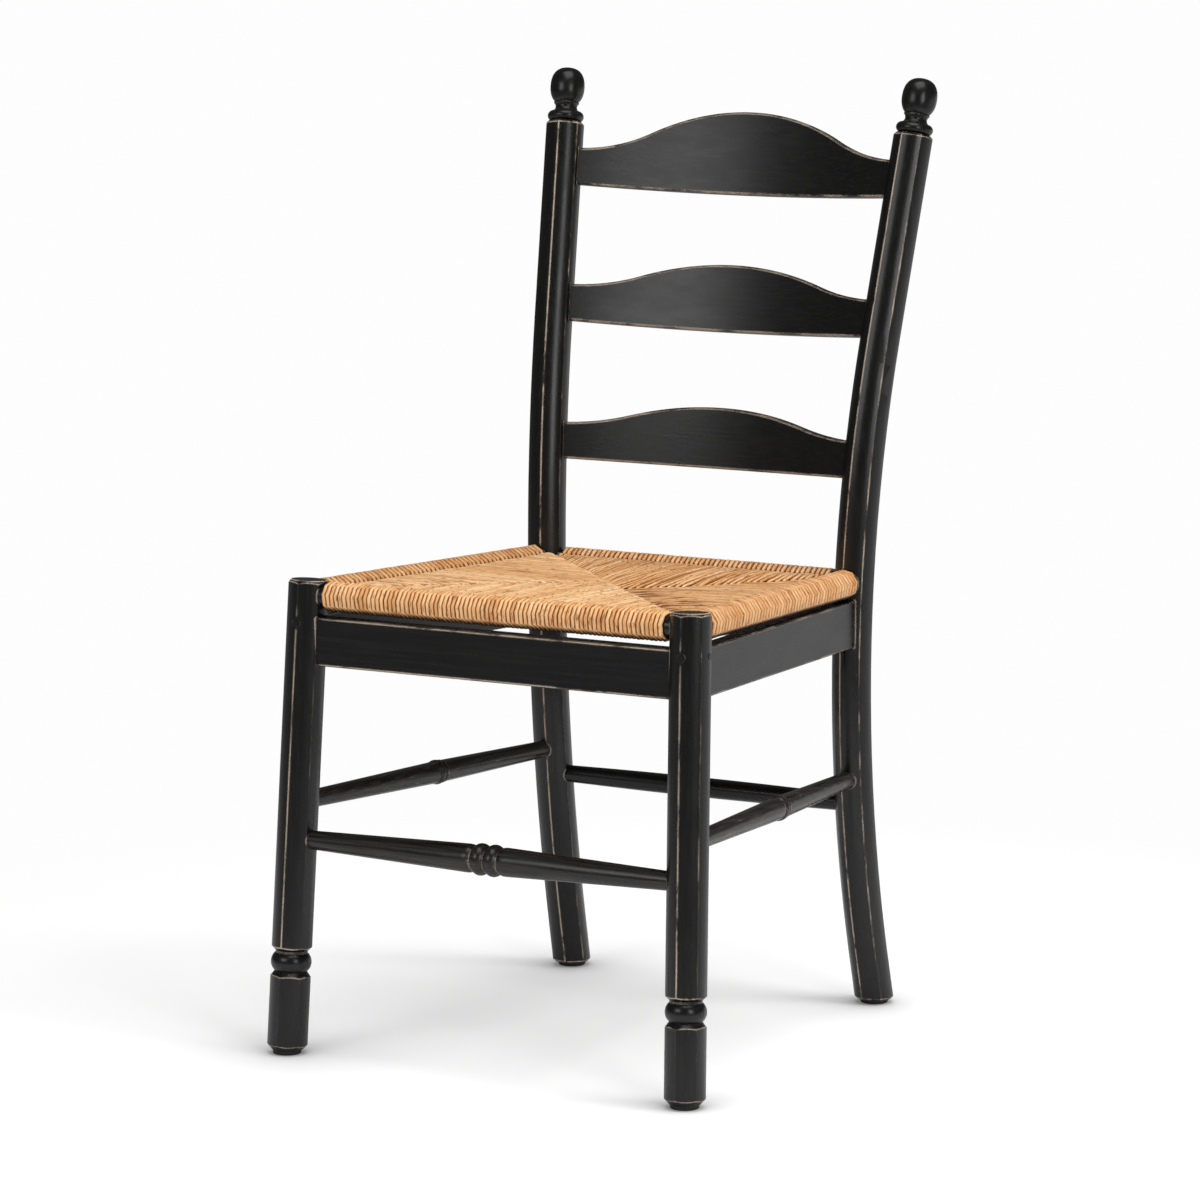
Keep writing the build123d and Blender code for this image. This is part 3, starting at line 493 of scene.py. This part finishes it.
# Stuffing between the top and the underside, so that no light comes through the seams
stuffing = {"thick": 0.002, "edge": 0.0105, "corner": 0.028, "low": 0.0055,
            "dark": "#3a2410", "light": "#7a5228", "clump": 0.0033, "roughness": 0.9}
edge, corner = stuffing["edge"], stuffing["corner"]
outline = [(frontX - corner, frontY + edge), (sideRail(frontY + corner) - edge, frontY + corner),
           (sideRail(rearY - corner) - edge, rearY - corner), (rearX - corner, rearY - edge)]
outline += [(-x, y) for x, y in reversed(outline)]
bpy.ops.mesh.primitive_circle_add(vertices=len(outline), fill_type="NGON")
rushStuffing = bpy.context.object
rushStuffing.name = rushStuffing.data.name = "rush_stuffing"
ring = [rushStuffing.data.vertices[i] for i in rushStuffing.data.polygons[0].vertices]
for vertex, (x, y) in zip(ring, outline):
    vertex.co = (x, y, seatHeight(y) - stuffing["low"])
thickness = rushStuffing.modifiers.new("thickness", "SOLIDIFY")
thickness.thickness, thickness.offset = stuffing["thick"], 0
bpy.ops.object.modifier_apply(modifier="thickness")
bpy.ops.object.select_all(action="DESELECT")
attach(rushStuffing, "root")
stuffed, tree, shader = newMaterial("dry_rush_stuffing")
shade = addNode(tree, "ShaderNodeTexNoise", {
    "Vector": addNode(tree, "ShaderNodeTexCoord").outputs["Object"],
    "Scale": 1 / stuffing["clump"], "Detail": 4.0})
tone = addNode(tree, "ShaderNodeValToRGB", {"Fac": shade.outputs["Fac"]}, stops=[
    (0.3, hexColor(stuffing["dark"])), (0.75, hexColor(stuffing["light"]))])
tree.links.new(tone.outputs["Color"], shader.inputs["Base Color"])
shader.inputs["Roughness"].default_value = stuffing["roughness"]
rushStuffing.data.materials.append(stuffed)
print("stuffing done")


# Studio: pale floor that keeps the shadow, soft lamps, white behind, and a dark cloth that only the gloss sees;
# its dim glow is painted light.
# The shade beside each foot is finer than the large lamps draw, so the floor's material adds to it
studio = {
    "floor": 1.5, "floorColor": "#f0f0f0", "floorGlow": 0.255, "floorRough": 0.9, "floorShine": 0.1,
    "fade": (0.55, 1.15),                        # where the floor turns white, metres from the middle
    "footShade": 0.45, "footReach": 0.11, "footOpen": (0.4, 1.0),
    "footLight": (0.85, 0.2, 0.5),               # the shade lies on the other side of each foot
    "white": 0.985, "glossWhite": 0.72, "fill": 0.46,
    "cloth": 6.0, "clothGlowHigh": 0.1, "clothGlowLow": 0.27, "clothFade": (-0.4, 0.4),
    "openBehind": 1.0, "openRightOf": -1.0, "openBelow": 0.4,   # the cloth's opening
    "lamps": [
        # name, place, aim, width, height, watts, seen in the gloss
        ("overhead", (0.5, -0.5, 3.3), (0, 0, 0.4), 2.2, 2.2, 39.0, True),
        ("frontLeft", (-0.95, -3.1, 1.75), (0, 0, 0.7), 1.6, 1.3, 21.0, True),
        ("frontRight", (2.8, -1.9, 1.45), (0, 0, 0.7), 0.9, 1.6, 23.0, True),
        ("rightShadow", (2.5, 0.3, 2.4), (0, 0, 0.2), 1.4, 1.4, 47.0, False),
    ],
}
bpy.ops.mesh.primitive_circle_add(vertices=96, radius=studio["floor"], fill_type="NGON")
floor = bpy.context.object
floor.name = "floor"
paper, tree, shader = newMaterial("matt_white_paper_sweep")
shader.inputs["Roughness"].default_value = studio["floorRough"]
shader.inputs["Specular IOR Level"].default_value = studio["floorShine"]
beside = addNode(tree, "ShaderNodeAmbientOcclusion", {
    "Distance": studio["footReach"], "Normal": Vector(studio["footLight"]).normalized()}, samples=8)


def seenBy(tree):
    # camera, gloss and glass see the white; bounced light doesn't
    rays = addNode(tree, "ShaderNodeLightPath").outputs
    gloss = addNode(tree, "ShaderNodeMath", {
        0: rays["Is Glossy Ray"], 1: rays["Is Transmission Ray"]}, operation="MAXIMUM")
    return addNode(tree, "ShaderNodeMath", {
        0: rays["Is Camera Ray"], 1: gloss.outputs[0]}, operation="MAXIMUM").outputs[0]


seen = seenBy(tree)
rays = addNode(tree, "ShaderNodeLightPath").outputs
shade = addNode(tree, "ShaderNodeMapRange", {
    "Value": beside.outputs["AO"], **fromTo(studio["footOpen"]), "To Min": studio["footShade"]})
ground = addNode(tree, "ShaderNodeMix", {
    0: shade.outputs[0], 6: (0, 0, 0, 1), 7: hexColor(studio["floorColor"])}, data_type="RGBA")
tree.links.new(ground.outputs[2], shader.inputs["Base Color"])
glow = addNode(tree, "ShaderNodeMath", {0: rays["Is Camera Ray"], 1: studio["floorGlow"]}, operation="MULTIPLY")
glow = addNode(tree, "ShaderNodeMath", {0: glow.outputs[0], 1: shade.outputs[0]}, operation="MULTIPLY")
shader.inputs["Emission Color"].default_value = (1, 1, 1, 1)
tree.links.new(glow.outputs[0], shader.inputs["Emission Strength"])
away = addNode(tree, "ShaderNodeVectorMath", {
    0: addNode(tree, "ShaderNodeTexCoord").outputs["Object"]}, operation="LENGTH")
fade = addNode(tree, "ShaderNodeMapRange", {
    "Value": away.outputs["Value"], **fromTo(studio["fade"])}, interpolation_type="SMOOTHSTEP")
faded = addNode(tree, "ShaderNodeMath", {0: fade.outputs[0], 1: seen}, operation="MULTIPLY")
whiteness = addNode(tree, "ShaderNodeMapRange", {
    "Value": rays["Is Camera Ray"], "To Min": studio["glossWhite"], "To Max": studio["white"]})
white = addNode(tree, "ShaderNodeEmission", {"Strength": whiteness.outputs[0]})
blend = addNode(tree, "ShaderNodeMixShader", {
    0: faded.outputs[0], 1: shader.outputs[0], 2: white.outputs[0]})
tree.links.new(blend.outputs[0], tree.nodes["Material Output"].inputs["Surface"])
floor.data.materials.append(paper)

world = bpy.data.worlds.new("studio")
bpy.context.scene.world = world
world.use_nodes = True
tree = world.node_tree
backdrop = tree.nodes["Background"]
backdrop.inputs["Color"].default_value = (1, 1, 1, 1)
rays = addNode(tree, "ShaderNodeLightPath").outputs
whiteness = addNode(tree, "ShaderNodeMapRange", {
    "Value": rays["Is Camera Ray"], "To Min": studio["glossWhite"], "To Max": studio["white"]})
strength = addNode(tree, "ShaderNodeMapRange", {
    "Value": seenBy(tree), "To Min": studio["fill"], "To Max": whiteness.outputs[0]})
tree.links.new(strength.outputs[0], backdrop.inputs["Strength"])

# The cloth hangs over and before the chair, so that the black keeps its depth; low at the back stays white
bpy.ops.mesh.primitive_uv_sphere_add(segments=48, ring_count=24, radius=studio["cloth"])
cloth = bpy.context.object
cloth.name = "dark_cloth"
bpy.ops.object.mode_set(mode="EDIT")
bpy.ops.mesh.select_all(action="DESELECT")
bpy.ops.object.mode_set(mode="OBJECT")
for face in cloth.data.polygons:
    x, y, z = face.center
    face.select = y > studio["openBehind"] and x > studio["openRightOf"] and z < studio["openBelow"]
bpy.ops.object.mode_set(mode="EDIT")
bpy.ops.mesh.delete(type="FACE")
bpy.ops.object.mode_set(mode="OBJECT")
bpy.ops.object.select_all(action="DESELECT")
cloth.visible_camera = cloth.visible_diffuse = cloth.visible_shadow = cloth.visible_transmission = False
# the cloth's glow is painted light in the reflections, brighter low down than high up
felt, tree, shader = newMaterial("dark_cloth_glow")
high = addNode(tree, "ShaderNodeSeparateXYZ", {"Vector": addNode(tree, "ShaderNodeTexCoord").outputs["Object"]})
clothGlow = addNode(tree, "ShaderNodeMapRange", {
    "Value": high.outputs["Z"], **fromTo(studio["clothFade"]),
    "To Min": studio["clothGlowLow"], "To Max": studio["clothGlowHigh"]})
shader.inputs["Base Color"].default_value = (0, 0, 0, 1)
shader.inputs["Specular IOR Level"].default_value = 0.0
shader.inputs["Emission Color"].default_value = (1, 1, 1, 1)
tree.links.new(clothGlow.outputs[0], shader.inputs["Emission Strength"])
cloth.data.materials.append(felt)

for name, spot, aim, wide, tall, watts, glossy in studio["lamps"]:
    lamp = bpy.data.lights.new(name, "AREA")
    lamp.shape, lamp.size, lamp.size_y, lamp.energy = "RECTANGLE", wide, tall, watts
    holder = bpy.data.objects.new(name, lamp)
    bpy.context.scene.collection.objects.link(holder)
    holder.location = spot
    holder.visible_glossy = glossy
    holder.rotation_euler = (Vector(aim) - Vector(spot)).to_track_quat("-Z", "Y").to_euler()
print("studio lit")


# Camera solved from the photograph: right, up and back directions, place, and focal length on a 36 mm sensor
view = {
    "right": (0.86907, 0.49469, 0.0), "up": (-0.07491, 0.13160, 0.98847), "back": (0.48899, -0.85905, 0.15143),
    "place": (2.58684, -4.57978, 1.23983), "lens": 159.85, "sensor": 36.0, "far": 60.0,
}
camera = bpy.data.objects.new("camera", bpy.data.cameras.new("camera"))
bpy.context.scene.collection.objects.link(camera)
turned = Matrix((view["right"], view["up"], view["back"])).transposed()
camera.matrix_world = Matrix.Translation(view["place"]) @ turned.to_4x4()
camera.data.sensor_width = view["sensor"]
camera.data.lens = view["lens"]
camera.data.clip_end = view["far"]
bpy.context.scene.camera = camera
bpy.context.scene.view_settings.view_transform = "Standard"
print("camera set")
